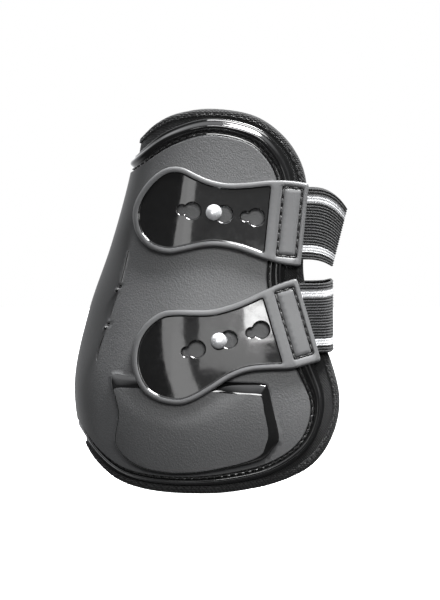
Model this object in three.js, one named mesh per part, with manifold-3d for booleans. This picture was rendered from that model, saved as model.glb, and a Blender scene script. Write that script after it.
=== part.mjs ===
// A horse's tendon boot for one leg, as an assembly of separate pieces in millimetres, +Z up the leg.
// +X is the front of the leg, where the boot opens. -Y is the outer side, which carries the two tabs.
// The origin is on the leg's axis, level with the boot's lowest edge.
import * as THREE from "three";
import { mergeVertices } from "three/addons/utils/BufferGeometryUtils.js";
import Module from "manifold-3d";

const wasm = await Module();
wasm.setup();

// ---------------------------------------------------------------- driving dimensions
const SHELL_WALL = 2.6;
const LINING_WALL = 5;
const GAP = 0.3; // clearance that touching pieces keep
const BINDING_WIDTH = 4.2;
const BINDING_SWELL = 0.9; // how far the binding stands off each face of the lining
const STITCH_INSET = 8; // from the shell's edge to its row of stitches
const BINDING_STITCH_INSET = 3.4; // from the lining's edge to the binding's row of stitches
const THREAD_R = 0.35;

// The wall seen from above is half a superellipse behind the leg, then two nearly straight sides.
const SECTION_POWER = 2.4;
const FRONT_REACH = 84; // from the widest place to the end of the sides
const TUCK = 0.2; // share of the half-width that the sides come in by, over that reach
const SPINE = [[-12, -56], [20, -69], [61, -75.4], [104, -67], [141, -54.5], [177, -44.5], [205, -39], [235, -34]];
const HALF_WIDTH = [[-12, 42], [50, 46], [130, 37.5], [180, 35], [235, 36]];
const WIDEST = [[-12, 12], [60, 12], [150, 6], [235, 6]];

// Edges of the shell and the lining seen from the side, from behind the spine over the top to the bottom.
const SHELL_EDGE = [
  [-74, 158], [-54, 179], [-37, 197], [-20, 208.8], [4, 215], [30, 209.5], [44, 197], [51, 182],
  [51.5, 164], [47, 140], [46, 122], [52, 99], [62, 76], [68.5, 56], [66, 38], [56, 22.5], [38, 11.5],
  [14, 6.2], [-10, 5], [-34, 7.2], [-50, 12.4], [-63, 23], [-74, 38], [-95, 63],
];
const LINING_EDGE = [
  [-70, 172], [-48, 194.5], [-37, 206.5], [-29, 213], [-17, 217.8], [4, 220.3], [28, 216.5], [45, 205.2],
  [55.6, 189.5], [59.2, 172], [58.2, 150], [57, 126], [63, 100], [73, 76], [78, 54], [74, 33.5],
  [62.3, 16.6], [42, 6.4], [17, 1.2], [-6, 0], [-32, 1.6], [-51, 6.6], [-64, 16.4], [-74, 29.5],
  [-95, 52],
];
const BEHIND = -115; // where the edges close, behind the spine

// Closure tabs: a round end, a waist and a square end that is sewn to the elastic.
const TAB_LOW = 2.3; // underside and top, above the shell's outer face
const TAB_TOP = 6;
const TAB_RECESS = 4.8; // floor of the glossy recess
const TAB_BORDER = 3;
const TAB_PLATE = 15; // length of the stitched plate with its border
const TAB_BAR = 6.3; // plain bar between the recess and the plate
const PLATE_SKIN = 1.7; // tab wall over the elastic
const SMALL_HOLE_R = 2.7;
const BIG_HOLE_R = 4.7;
const HOLE_STEP = 6; // from the small hole of a keyhole to its big one

// Elastics
const ELASTIC_WALL = 1.5;
const ELASTIC_MID = 3.2; // middle of the elastic above the shell's outer face
const ELASTIC_HALF = 20.5;
const SEWN_LENGTH = 15; // under the tab's plate
const ANCHOR_START = 13; // on the inner side, from where the elastic leaves the boot to its sewn end
const ANCHOR_LENGTH = 19;
const ANCHOR_STITCH_MARGIN = 3;
const BOW_STEPS = 6;

// centre: of the round end. angle: of the long axis, in degrees. length: to the square end.
// hole: distance of the occupied small hole from the centre. pitch: between keyholes. lift: keyholes above the axis.
// apex: how far forward the elastic bows, and its height there, at its bottom and top edges.
// bow: the power of the bow's superellipse.
// outline: the tab's edge, along and up across, from the square end's top round the round end to its bottom.
const CLOSURES = [
  {
    name: "upper", centre: [-18.9, 162.3], angle: -5.8, length: 76.5, hole: 24, pitch: 18.3, lift: 0.8,
    apex: [[73, 129.5], [81.5, 163]], bow: 2.8,
    outline: [
      [76.5, 23.1], [66, 23.6], [54, 22.6], [42, 20.2], [30, 18.6], [20, 19.5], [12, 21.9], [3, 25], [-6, 23.5],
      [-14, 16.5], [-20, 6.5], [-22.3, -4], [-19, -15.5], [-11, -22.8], [0, -25], [10, -22.4], [20, -19.2],
      [30, -18], [42, -19.3], [54, -22.3], [66, -24.4], [76.5, -24.7],
    ],
  },
  {
    name: "lower", centre: [-19.7, 77], angle: 16.5, length: 82.4, hole: 29.3, pitch: 19.2, lift: 1.6,
    apex: [[73.2, 82], [73, 122]], bow: 5.5,
    outline: [
      [82.4, 24.1], [72, 23.8], [61, 22.4], [50, 20.8], [40, 20.2], [30, 20.8], [20, 23.6], [10, 26.6], [2, 27.4],
      [-8, 23.8], [-16, 16.8], [-21, 7], [-22.5, -3], [-20, -13.5], [-13, -21.2], [-3, -26], [6, -26.2],
      [18, -23.4], [30, -20], [41, -19.3], [52, -21.4], [64, -24.5], [72, -25.1], [82.4, -25.2],
    ],
  },
];

// Stud, as radius and height above the shell's outer face, and what clamps it behind the wall.
const NECK_R = 1.6;
const SHANK_R = 2;
const SHANK_HOLE_R = 2.4;
const STUD_PROFILE = [
  [0, -5], [SHANK_R, -5], [SHANK_R, 0.3], [3.6, 0.3], [3.6, 1.2], [NECK_R, 1.5], [NECK_R, 6], [3.5, 6.6],
  [4.5, 7.7], [4.75, 9], [4.3, 10.3], [3.1, 11.4], [1.6, 11.9], [0, 12.1],
];
const WASHER_PROFILE = [[SHANK_HOLE_R, -3.7], [5.5, -3.7], [5.5, -2.9], [SHANK_HOLE_R, -2.9], [SHANK_HOLE_R, -3.7]];
const RIVET_PROFILE = [[0, -5.9], [4, -5.9], [4, -4], [SHANK_HOLE_R, -4], [SHANK_HOLE_R, -5.3], [0, -5.3]];
const POCKET_R = 6.2;
const POCKET_DEPTH = 6.4;

// How finely curved faces are cut
const BACK_STEPS = 8;
const FRONT_STEPS = 4;
const HEIGHT_STEPS = 13;
const ROUND_SEGMENTS = 14;

const MATERIALS = {
  shell: new THREE.MeshStandardMaterial({ color: 0x3f4042, roughness: 0.55 }),
  tab: new THREE.MeshStandardMaterial({ color: 0x4a4b4d, roughness: 0.5 }),
  neoprene: new THREE.MeshStandardMaterial({ color: 0x17181a, roughness: 0.95 }),
  binding: new THREE.MeshStandardMaterial({ color: 0x26282a, roughness: 0.9 }),
  elastic: new THREE.MeshStandardMaterial({ color: 0x1b1c1e, roughness: 0.85 }),
  thread: new THREE.MeshStandardMaterial({ color: 0x0c0c0d, roughness: 0.7 }),
  chrome: new THREE.MeshStandardMaterial({ color: 0xd8dadc, roughness: 0.12, metalness: 1 }),
  steel: new THREE.MeshStandardMaterial({ color: 0x9a9c9e, roughness: 0.4, metalness: 1 }),
};

// ---------------------------------------------------------------- the wall's surface
// A smooth value at z, through [z, value] pairs.
function through(pairs, z) {
  const last = pairs.length - 1;
  let i = 0;
  while (i < last - 1 && z > pairs[i + 1][0]) i += 1;
  const slope = (k) => {
    const [za, va] = pairs[Math.max(k - 1, 0)];
    const [zb, vb] = pairs[Math.min(k + 1, last)];
    return (vb - va) / (zb - za);
  };
  const [z0, v0] = pairs[i];
  const [z1, v1] = pairs[i + 1];
  const h = z1 - z0;
  const t = (z - z0) / h;
  const s = 1 - t;
  return (1 + 2 * t) * s * s * v0 + t * t * (3 - 2 * t) * v1 + t * s * s * h * slope(i) - t * t * s * h * slope(i + 1);
}

// x and y of the wall's outer face at height z. a is 0 on the spine and 1 at the end of a side.
function profile(a, z) {
  const widest = through(WIDEST, z);
  const half = through(HALF_WIDTH, z);
  if (a <= 0.5) {
    const turn = a * Math.PI;
    const power = 2 / SECTION_POWER;
    const back = widest - through(SPINE, z);
    return [widest - back * Math.cos(turn) ** power, half * Math.sin(turn) ** power];
  }
  const forward = 2 * a - 1;
  return [widest + FRONT_REACH * forward, half * (1 - TUCK * forward ** 2)];
}

// A point of the wall, offset outwards. u runs from -1, inner side's front, to 1, outer side's front.
function wallPoint(u, z, offset) {
  const a = Math.abs(u);
  const side = u > 0 ? -1 : 1;
  const step = 1e-3;
  const [x, y] = profile(a, z);
  const [xa, ya] = a < step ? [x, -step] : profile(a - step, z);
  const [xb, yb] = a < step ? [x, step] : profile(Math.min(a + step, 1), z);
  const length = Math.hypot(xb - xa, yb - ya);
  return [x - (offset * (yb - ya)) / length, side * (y + (offset * (xb - xa)) / length), z];
}

// The point of the wall's face at x and z on one side: outer is -1, inner is 1.
function wallAt(x, z, offset, side) {
  let [low, high] = [0, 1];
  for (let i = 0; i < 30; i += 1) {
    const a = (low + high) / 2;
    if (wallPoint(a, z, offset)[0] < x) low = a;
    else high = a;
  }
  const [px, py] = wallPoint(high, z, offset);
  return new THREE.Vector3(px, -side * py, z).setY(side * Math.abs(py));
}

// ---------------------------------------------------------------- solids
function solidOf(geometry) {
  geometry.deleteAttribute("normal");
  geometry.deleteAttribute("uv");
  const merged = mergeVertices(geometry, 1e-4);
  const vertProperties = merged.attributes.position.array;
  return new wasm.Manifold(new wasm.Mesh({ numProp: 3, vertProperties, triVerts: new Uint32Array(merged.index.array) }));
}

// A closed slab between two grids of points: rows[i][j] on its outer face and on its inner one.
function slab(outer, inner) {
  const rows = outer.length;
  const columns = outer[0].length;
  const positions = [...outer.flat(), ...inner.flat()].flat();
  const index = [];
  const at = (i, j, layer) => layer * rows * columns + i * columns + j;
  const quad = (a, b, c, d) => index.push(a, c, b, a, d, c);
  for (let i = 0; i < rows - 1; i += 1)
    for (let j = 0; j < columns - 1; j += 1) {
      quad(at(i, j, 0), at(i, j + 1, 0), at(i + 1, j + 1, 0), at(i + 1, j, 0));
      quad(at(i, j, 1), at(i + 1, j, 1), at(i + 1, j + 1, 1), at(i, j + 1, 1));
    }
  for (let i = 0; i < rows - 1; i += 1) {
    quad(at(i, 0, 0), at(i + 1, 0, 0), at(i + 1, 0, 1), at(i, 0, 1));
    quad(at(i + 1, columns - 1, 0), at(i, columns - 1, 0), at(i, columns - 1, 1), at(i + 1, columns - 1, 1));
  }
  for (let j = 0; j < columns - 1; j += 1) {
    quad(at(0, j + 1, 0), at(0, j, 0), at(0, j, 1), at(0, j + 1, 1));
    quad(at(rows - 1, j, 0), at(rows - 1, j + 1, 0), at(rows - 1, j + 1, 1), at(rows - 1, j, 1));
  }
  const geometry = new THREE.BufferGeometry();
  geometry.setAttribute("position", new THREE.BufferAttribute(new Float32Array(positions), 3));
  geometry.setIndex(index);
  return solidOf(geometry);
}

const range = (count, low, high) => Array.from({ length: count + 1 }, (_, i) => low + ((high - low) * i) / count);
const SIDE_STOPS = [...range(BACK_STEPS, 0, 0.5), ...range(FRONT_STEPS, 0.5, 1).slice(1)];
const ALL_STOPS = [...SIDE_STOPS.slice(1).reverse().map((a) => -a), ...SIDE_STOPS];

// The wall between two offsets from the shell's outer face, over the whole height.
function wallSlab(low, high, stops = ALL_STOPS) {
  const heights = range(HEIGHT_STEPS, SPINE[0][0], SPINE.at(-1)[0]);
  const layer = (offset) => stops.map((u) => heights.map((z) => wallPoint(u, z, offset)));
  return slab(layer(high), layer(low));
}

// A side-view outline made solid from y = from to y = to.
function across(points, from = -100, to = 100) {
  const shape = new THREE.Shape(points.map(([x, z]) => new THREE.Vector2(x, z)));
  const geometry = new THREE.ExtrudeGeometry(shape, { depth: to - from, bevelEnabled: false });
  return solidOf(geometry.rotateX(Math.PI / 2).translate(0, to, 0));
}

function lathe(profilePoints) {
  const points = profilePoints.map(([r, h]) => new THREE.Vector2(r, h));
  return solidOf(new THREE.LatheGeometry(points, ROUND_SEGMENTS));
}

// A thread along an open path of points.
function thread(points, steps) {
  const path = new THREE.CatmullRomCurve3(points, false, "centripetal");
  const section = new THREE.Shape(range(3, 0, 2 * Math.PI).slice(1).map((a) => {
    return new THREE.Vector2(THREAD_R * Math.cos(a), THREAD_R * Math.sin(a));
  }));
  return solidOf(new THREE.ExtrudeGeometry(section, { steps, extrudePath: path }));
}

function mesh(name, solid, material) {
  const { vertProperties, triVerts } = solid.getMesh();
  const geometry = new THREE.BufferGeometry();
  geometry.setAttribute("position", new THREE.BufferAttribute(vertProperties, 3));
  geometry.setIndex(new THREE.BufferAttribute(triVerts, 1));
  geometry.computeVertexNormals();
  const made = new THREE.Mesh(geometry, MATERIALS[material]);
  made.name = name;
  return made;
}

// ---------------------------------------------------------------- outlines
const EDGE_POINTS = 46;
const THREAD_POINTS = 64;
const TAB_POINTS = 44;

function smoothEdge(points, count) {
  return new THREE.SplineCurve(points.map(([x, z]) => new THREE.Vector2(x, z))).getSpacedPoints(count);
}

// The edge moved in by a distance. The edges run clockwise, so inwards is to the right of each step.
function inset(points, distance) {
  return points.map((p, i) => {
    const ahead = points[Math.min(i + 1, points.length - 1)];
    const behind = points[Math.max(i - 1, 0)];
    const along = ahead.clone().sub(behind).normalize();
    return new THREE.Vector2(p.x + along.y * distance, p.y - along.x * distance);
  });
}

function closed(points) {
  const outline = points.map((p) => [p.x, p.y]);
  return [[BEHIND, outline[0][1]], ...outline, [BEHIND, outline.at(-1)[1]]];
}

// The part of an edge in front of the spine, with points closing up towards the spine at both ends.
function onWall(points, offset) {
  const inFront = (p) => p.x > through(SPINE, p.y) - offset;
  const seen = points.filter(inFront);
  const approach = (inside, outside) => {
    let [near, far] = [inside.clone(), outside.clone()];
    for (let i = 0; i < 20; i += 1) {
      const middle = near.clone().lerp(far, 0.5);
      if (inFront(middle)) near = middle;
      else far = middle;
    }
    return [0, 0.25, 0.5, 0.75].map((s) => near.clone().lerp(inside, s ** SECTION_POWER));
  };
  const before = points[points.indexOf(seen[0]) - 1];
  const after = points[points.indexOf(seen.at(-1)) + 1];
  return [...approach(seen[0], before), ...seen, ...approach(seen.at(-1), after).reverse()];
}

// A thread that follows an edge all round the boot, at an offset from the shell's outer face.
function edgeThread(edge, insetBy, offset) {
  const row = onWall(inset(smoothEdge(edge, THREAD_POINTS), insetBy), offset);
  const outer = row.map((p) => wallAt(p.x, p.y, offset, -1));
  const inner = row.map((p) => wallAt(p.x, p.y, offset, 1)).reverse();
  const path = [...outer, ...inner.slice(1, -1)];
  return thread(path, path.length - 1);
}

// ---------------------------------------------------------------- closures
// Turns tab coordinates, p along and q up across, into side-view x and z.
function placed(closure, p, q) {
  const turn = THREE.MathUtils.degToRad(closure.angle);
  const [cx, cz] = closure.centre;
  return [cx + p * Math.cos(turn) - q * Math.sin(turn), cz + p * Math.sin(turn) + q * Math.cos(turn)];
}

// The tab's outline in side view, drawn in by a border and ended early for the recess.
function tabOutline(closure, border, end) {
  const edge = smoothEdge(closure.outline, TAB_POINTS);
  const kept = inset(edge, -border).filter((p) => p.x < end);
  const corner = (p) => new THREE.Vector2(end, p.y);
  return [corner(kept[0]), ...kept, corner(kept.at(-1))].map((p) => placed(closure, p.x, p.y));
}

function keyhole(closure, place) {
  const circle = (p, r) => range(ROUND_SEGMENTS, 0, 2 * Math.PI).slice(1).map((a) => {
    return placed(closure, p + r * Math.cos(a), closure.lift + r * Math.sin(a));
  });
  return across(circle(place, SMALL_HOLE_R), -80, 0).add(across(circle(place + HOLE_STEP, BIG_HOLE_R), -80, 0));
}

function rectangle(closure, p0, p1, half) {
  return [[p0, -half], [p1, -half], [p1, half], [p0, half]].map(([p, q]) => placed(closure, p, q));
}

function tabSolid(closure) {
  const stops = ALL_STOPS.filter((u) => u >= 0.1);
  const recessEnd = closure.length - TAB_PLATE - TAB_BAR;
  const pocket = rectangle(closure, closure.length - SEWN_LENGTH - 1, closure.length + 4, ELASTIC_HALF + GAP);
  let tab = wallSlab(TAB_LOW, TAB_TOP, stops).intersect(across(tabOutline(closure, 0, closure.length), -80, 0));
  tab = tab.subtract(
    wallSlab(TAB_RECESS, TAB_TOP + 2, stops).intersect(across(tabOutline(closure, TAB_BORDER, recessEnd), -80, 0)),
  );
  tab = tab.subtract(wallSlab(TAB_LOW - 1, TAB_TOP - PLATE_SKIN, stops).intersect(across(pocket, -80, 0)));
  for (const k of [-1, 0, 1]) tab = tab.subtract(keyhole(closure, closure.hole + k * closure.pitch));
  return tab;
}

// A square row of stitches, started and ended half a millimetre apart.
function stitchedBox(corners, offset, side) {
  const [a, b, c, d] = corners;
  const sides = [[a, b], [b, c], [c, d], [d, a]];
  const points = sides.flatMap(([from, to]) => range(4, 0, 1).slice(0, -1).map((t) => {
    return wallAt(from[0] + t * (to[0] - from[0]), from[1] + t * (to[1] - from[1]), offset, side);
  }));
  const start = points[0];
  points.push(points.at(-1).clone().lerp(start, 0.8));
  return thread(points, points.length * 2);
}

function tabStitching(closure) {
  const box = rectangle(closure, closure.length - TAB_PLATE, closure.length - TAB_BORDER, ELASTIC_HALF);
  return stitchedBox(box, TAB_TOP + THREAD_R + GAP, -1);
}

// A row of points along the elastic, from under the tab round the front to the inner side.
function elasticRow(closure, w) {
  const onFace = (p, side) => {
    const [x, z] = placed(closure, p, w * ELASTIC_HALF);
    return wallAt(x, z, ELASTIC_MID, side);
  };
  const leave = closure.length + 1;
  const anchor = leave - ANCHOR_START;
  const [low, high] = closure.apex;
  const apexX = low[0] + ((w + 1) / 2) * (high[0] - low[0]);
  const apexZ = low[1] + ((w + 1) / 2) * (high[1] - low[1]);
  const bow = (from, t) => {
    const power = 2 / closure.bow;
    const x = from.x + (apexX - from.x) * Math.sin(t) ** power;
    const z = from.z + (apexZ - from.z) * Math.sin(t) ** 2;
    return new THREE.Vector3(x, from.y * Math.max(Math.cos(t), 0) ** power, z);
  };
  const quarter = range(BOW_STEPS, 0, Math.PI / 2);
  return [
    onFace(closure.length - SEWN_LENGTH, -1),
    ...quarter.map((t) => bow(onFace(leave, -1), t)),
    ...quarter.slice(0, -1).reverse().map((t) => bow(onFace(leave, 1), t)),
    onFace(anchor, 1),
    onFace(anchor - ANCHOR_LENGTH, 1),
  ];
}

function elasticSolid(closure) {
  const rows = [-1, 0, 1].map((w) => elasticRow(closure, w));
  const normal = (i, j) => {
    const along = rows[i][Math.min(j + 1, rows[i].length - 1)].clone().sub(rows[i][Math.max(j - 1, 0)]);
    const up = rows[2][j].clone().sub(rows[0][j]);
    return along.cross(up).normalize();
  };
  const layer = (distance) => rows.map((row, i) => row.map((p, j) => {
    return p.clone().addScaledVector(normal(i, j), distance).toArray();
  }));
  return slab(layer(-ELASTIC_WALL / 2), layer(ELASTIC_WALL / 2));
}

function anchorStitching(closure) {
  const front = closure.length + 1 - ANCHOR_START - ANCHOR_STITCH_MARGIN;
  const back = front + 2 * ANCHOR_STITCH_MARGIN - ANCHOR_LENGTH;
  const box = rectangle(closure, back, front, ELASTIC_HALF - ANCHOR_STITCH_MARGIN);
  return stitchedBox(box, ELASTIC_MID + ELASTIC_WALL / 2 + THREAD_R + GAP, 1);
}

// ---------------------------------------------------------------- the boot
const shellEdge = smoothEdge(SHELL_EDGE, EDGE_POINTS);
const liningEdge = smoothEdge(LINING_EDGE, EDGE_POINTS);
const studPlaces = CLOSURES.map((closure) => {
  const [x, z] = placed(closure, closure.hole, closure.lift);
  return wallAt(x, z, 0, -1);
});

// The wall's outward direction at a point of its outer side.
function outward(place) {
  const forward = wallAt(place.x + 1, place.z, 0, -1).sub(wallAt(place.x - 1, place.z, 0, -1));
  const up = wallAt(place.x, place.z + 1, 0, -1).sub(wallAt(place.x, place.z - 1, 0, -1));
  return forward.cross(up).normalize();
}

function drilled(solid, radius, deepest) {
  const disc = (p) => range(ROUND_SEGMENTS, 0, 2 * Math.PI).slice(1).map((a) => {
    return [p.x + radius * Math.cos(a), p.z + radius * Math.sin(a)];
  });
  return studPlaces.reduce((left, p) => left.subtract(across(disc(p), p.y - 10, p.y + deepest)), solid);
}

function shellSolid() {
  const body = wallSlab(-SHELL_WALL, 0).intersect(across(closed(shellEdge)));
  return drilled(body, SHANK_HOLE_R, SHELL_WALL + 5);
}

function liningSolid() {
  const top = -SHELL_WALL - GAP;
  const body = wallSlab(top - LINING_WALL, top).intersect(across(closed(inset(liningEdge, BINDING_WIDTH + GAP))));
  return drilled(body, POCKET_R, POCKET_DEPTH);
}

function bindingSolid() {
  const top = -SHELL_WALL - GAP + BINDING_SWELL;
  const ring = across(closed(liningEdge)).subtract(across(closed(inset(liningEdge, BINDING_WIDTH))));
  return wallSlab(top - LINING_WALL - 2 * BINDING_SWELL, top).intersect(ring);
}

function bindingStitching() {
  const top = -SHELL_WALL - GAP + BINDING_SWELL;
  return edgeThread(LINING_EDGE, BINDING_STITCH_INSET, top + THREAD_R + 2 * GAP);
}

function padSet() {
  const pad = new THREE.Group();
  pad.add(
    mesh("tpu_shell", shellSolid(), "shell"),
    mesh("neoprene_lining", liningSolid(), "neoprene"),
    mesh("edge_binding", bindingSolid(), "binding"),
    mesh("shell_stitching", edgeThread(SHELL_EDGE, STITCH_INSET, THREAD_R + 2 * GAP), "thread"),
    mesh("binding_stitching", bindingStitching(), "thread"),
  );
  return pad;
}

function studSet(closure, place) {
  const set = new THREE.Group();
  set.position.copy(place);
  set.quaternion.setFromUnitVectors(new THREE.Vector3(0, 1, 0), outward(place));
  set.add(
    mesh(closure.name + "_stud", lathe(STUD_PROFILE), "chrome"),
    mesh(closure.name + "_stud_washer", lathe(WASHER_PROFILE), "steel"),
    mesh(closure.name + "_stud_rivet", lathe(RIVET_PROFILE), "steel"),
  );
  return set;
}

function strapSet(closure) {
  const strap = new THREE.Group();
  strap.add(
    mesh(closure.name + "_tab", tabSolid(closure), "tab"),
    mesh(closure.name + "_tab_stitching", tabStitching(closure), "thread"),
    mesh(closure.name + "_elastic", elasticSolid(closure), "elastic"),
    mesh(closure.name + "_anchor_stitching", anchorStitching(closure), "thread"),
  );
  return strap;
}

const boot = new THREE.Group();
boot.add(padSet());
CLOSURES.forEach((closure, i) => boot.add(studSet(closure, studPlaces[i]), strapSet(closure)));

export default boot;
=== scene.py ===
"""The looks of a horse's tendon boot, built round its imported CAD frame.

Lengths are in millimetres until a mesh is made. +X is the front of the leg, -Y the outer side, +Z up the leg.
"""
import math

import bpy
import bmesh
import numpy as np
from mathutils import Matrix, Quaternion, Vector
from mathutils.geometry import delaunay_2d_cdt
from mathutils.kdtree import KDTree


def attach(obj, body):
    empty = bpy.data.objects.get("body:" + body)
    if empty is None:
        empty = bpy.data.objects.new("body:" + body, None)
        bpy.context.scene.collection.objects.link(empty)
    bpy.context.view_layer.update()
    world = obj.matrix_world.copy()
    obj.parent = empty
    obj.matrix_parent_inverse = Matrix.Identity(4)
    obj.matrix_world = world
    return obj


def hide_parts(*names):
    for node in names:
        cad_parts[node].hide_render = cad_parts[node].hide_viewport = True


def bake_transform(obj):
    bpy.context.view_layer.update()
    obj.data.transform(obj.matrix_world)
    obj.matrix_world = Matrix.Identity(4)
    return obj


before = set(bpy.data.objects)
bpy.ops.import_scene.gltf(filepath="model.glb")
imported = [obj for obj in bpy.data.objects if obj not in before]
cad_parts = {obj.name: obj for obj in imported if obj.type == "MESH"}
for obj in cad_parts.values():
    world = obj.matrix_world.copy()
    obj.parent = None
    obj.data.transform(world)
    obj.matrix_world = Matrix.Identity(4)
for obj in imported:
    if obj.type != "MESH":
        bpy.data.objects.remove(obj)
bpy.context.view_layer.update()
MM = 0.001
PAD = "boot_pad"

# ---------------- dimensions shared with the CAD part
SHELL_WALL = 2.6
LINING_TOP = -2.9  # the lining's outer face, from the shell's outer face
LINING_WALL = 5.0
BINDING_WIDTH = 4.2
BINDING_SWELL = 0.9
SECTION_POWER = 2.4
FRONT_REACH = 84.0
TUCK = 0.2
SPINE = [(-12, -56), (20, -69), (61, -75.4), (104, -67), (141, -54.5), (177, -44.5), (205, -39), (235, -34)]
HALF_WIDTH = [(-12, 42), (50, 46), (130, 37.5), (180, 35), (235, 36)]
WIDEST = [(-12, 12), (60, 12), (150, 6), (235, 6)]
SHELL_EDGE = [
    (-74, 158), (-54, 179), (-37, 197), (-20, 208.8), (4, 215), (30, 209.5), (44, 197), (51, 182),
    (51.5, 164), (47, 140), (46, 122), (52, 99), (62, 76), (68.5, 56), (66, 38), (56, 22.5), (38, 11.5),
    (14, 6.2), (-10, 5), (-34, 7.2), (-50, 12.4), (-63, 23), (-74, 38), (-95, 63),
]
LINING_EDGE = [
    (-70, 172), (-48, 194.5), (-37, 206.5), (-29, 213), (-17, 217.8), (4, 220.3), (28, 216.5), (45, 205.2),
    (55.6, 189.5), (59.2, 172), (58.2, 150), (57, 126), (63, 100), (73, 76), (78, 54), (74, 33.5),
    (62.3, 16.6), (42, 6.4), (17, 1.2), (-6, 0), (-32, 1.6), (-51, 6.6), (-64, 16.4), (-74, 29.5),
    (-95, 52),
]
TAB_LOW, TAB_TOP, TAB_RECESS = 2.3, 6.0, 4.8
TAB_BORDER = 3.0
TAB_PLATE = 15.0
TAB_BAR = 6.3
PLATE_SKIN = 1.7
SMALL_HOLE_R, BIG_HOLE_R, HOLE_STEP = 2.7, 4.7, 6.0
ELASTIC_WALL = 1.5
ELASTIC_MID = 3.2
ELASTIC_HALF = 20.5
SEWN_LENGTH = 15.0
ANCHOR_START = 13.0
ANCHOR_LENGTH = 19.0
SHANK_HOLE_R = 2.4
CLOSURES = {
    "upper": dict(
        centre=(-18.9, 162.3), angle=-5.8, length=76.5, hole=24.0, pitch=18.3, lift=0.8,
        apex=((73, 129.5), (81.5, 163)), bow=2.8,
        outline=[
            (76.5, 23.1), (66, 23.6), (54, 22.6), (42, 20.2), (30, 18.6), (20, 19.5), (12, 21.9), (3, 25),
            (-6, 23.5), (-14, 16.5), (-20, 6.5), (-22.3, -4), (-19, -15.5), (-11, -22.8), (0, -25),
            (10, -22.4), (20, -19.2), (30, -18), (42, -19.3), (54, -22.3), (66, -24.4), (76.5, -24.7),
        ],
    ),
    "lower": dict(
        centre=(-19.7, 77), angle=16.5, length=82.4, hole=29.3, pitch=19.2, lift=1.6,
        apex=((73.2, 82), (73, 122)), bow=5.5,
        outline=[
            (82.4, 24.1), (72, 23.8), (61, 22.4), (50, 20.8), (40, 20.2), (30, 20.8), (20, 23.6), (10, 26.6),
            (2, 27.4), (-8, 23.8), (-16, 16.8), (-21, 7), (-22.5, -3), (-20, -13.5), (-13, -21.2), (-3, -26),
            (6, -26.2), (18, -23.4), (30, -20), (41, -19.3), (52, -21.4), (64, -24.5), (72, -25.1),
            (82.4, -25.2),
        ],
    ),
}

# ---------------- looks that only this script holds
# Profiles go inwards from an edge as (distance, height above the shell's outer face).
RIM_PROFILE = [
    (0.0, -2.1), (0.1, -1.4), (0.35, -1.05), (1.0, -0.95), (1.8, -0.85), (2.2, -0.6), (2.6, -0.2),
    (3.1, 0.35), (3.6, 0.8), (4.2, 1.08), (4.9, 1.1), (5.6, 0.85), (6.2, 0.3), (6.7, -0.4), (7.1, -0.95),
    (7.5, -1.2), (9.2, -1.2), (9.6, -1.0),
]
PANEL_PROFILE = [(9.8, -0.5), (10.0, -0.25), (10.2, -0.08), (10.5, 0.0), (10.6, 0.0)]
PANEL_HEIGHT = 0.0
STITCH_INSET = 8.3
STITCH_HEIGHT = -0.95
SOFT_STEP = 0.4  # loops are inset in steps of at most this length
GRID_ROW = 0.866  # from one row of a grid to the next, as a share of its spacing
GRID_CLEAR = 0.55  # from a grid's points to an edge, at least
STITCH_PITCH = 4.4


def through(pairs, z):
    """A smooth value at z, through (z, value) pairs."""
    knots, values = np.array(pairs, float).T
    slopes = np.empty_like(values)
    slopes[1:-1] = (values[2:] - values[:-2]) / (knots[2:] - knots[:-2])
    slopes[0] = (values[1] - values[0]) / (knots[1] - knots[0])
    slopes[-1] = (values[-1] - values[-2]) / (knots[-1] - knots[-2])
    z = np.asarray(z, float)
    i = np.clip(np.searchsorted(knots, z) - 1, 0, len(knots) - 2)
    h = knots[i + 1] - knots[i]
    t = (z - knots[i]) / h
    s = 1 - t
    ends = (1 + 2 * t) * s * s * values[i] + t * t * (3 - 2 * t) * values[i + 1]
    return ends + t * s * s * h * slopes[i] - t * t * s * h * slopes[i + 1]


def profile(a, z):
    """x and y of the wall's outer face at height z. a is 0 on the spine and 1 at the end of a side."""
    widest, half = through(WIDEST, z), through(HALF_WIDTH, z)
    power = 2 / SECTION_POWER
    turn = np.clip(a, 0, 0.5) * math.pi
    forward = np.clip(2 * a - 1, 0, 1)
    x = widest - (widest - through(SPINE, z)) * np.clip(np.cos(turn), 0, 1) ** power + FRONT_REACH * forward
    return x, half * np.sin(turn) ** power * (1 - TUCK * forward**2)


def wall_xy(a, z, h):
    """x and y of the wall at a height h off its outer face, with y counted from the middle."""
    step = 1e-3
    x, y = profile(a, z)
    xa, ya = profile(np.maximum(a - step, 0), z)
    xb, yb = profile(np.minimum(a + step, 1), z)
    ya = np.where(a < step, -yb, ya)
    xa = np.where(a < step, xb, xa)
    length = np.hypot(xb - xa, yb - ya)
    return x - h * (yb - ya) / length, y + h * (xb - xa) / length


# The wall unrolled: s is the distance round it from the spine, positive on the outer side.
ROW_STEP = 2.0
ROW_Z = np.arange(-12, 236, ROW_STEP)
STOPS = np.linspace(0, 1, 801)
WALL_X, WALL_Y = profile(STOPS[None, :], ROW_Z[:, None])
ARC = np.pad(np.cumsum(np.hypot(np.diff(WALL_X), np.diff(WALL_Y)), axis=1), ((0, 0), (1, 0)))


def by_row(values, z, look):
    """look(row, value) between the two rows round each z."""
    row = np.clip((z - ROW_Z[0]) / ROW_STEP, 0, len(ROW_Z) - 1.001)
    low = row.astype(int)
    out = np.empty(len(z))
    for k in np.unique(low):
        here = low == k
        share = row[here] - k
        out[here] = (1 - share) * look(k, values[here]) + share * look(k + 1, values[here])
    return out


def unrolled(p, h):
    """Points (s, z) of the unrolled wall, h off its outer face, in space."""
    s, z = np.asarray(p, float).T
    a = by_row(np.abs(s), z, lambda k, v: np.interp(v, ARC[k], STOPS))
    x, y = wall_xy(a, z, np.asarray(h, float))
    return np.stack([x, -np.sign(s) * y, z], axis=1)


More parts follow.
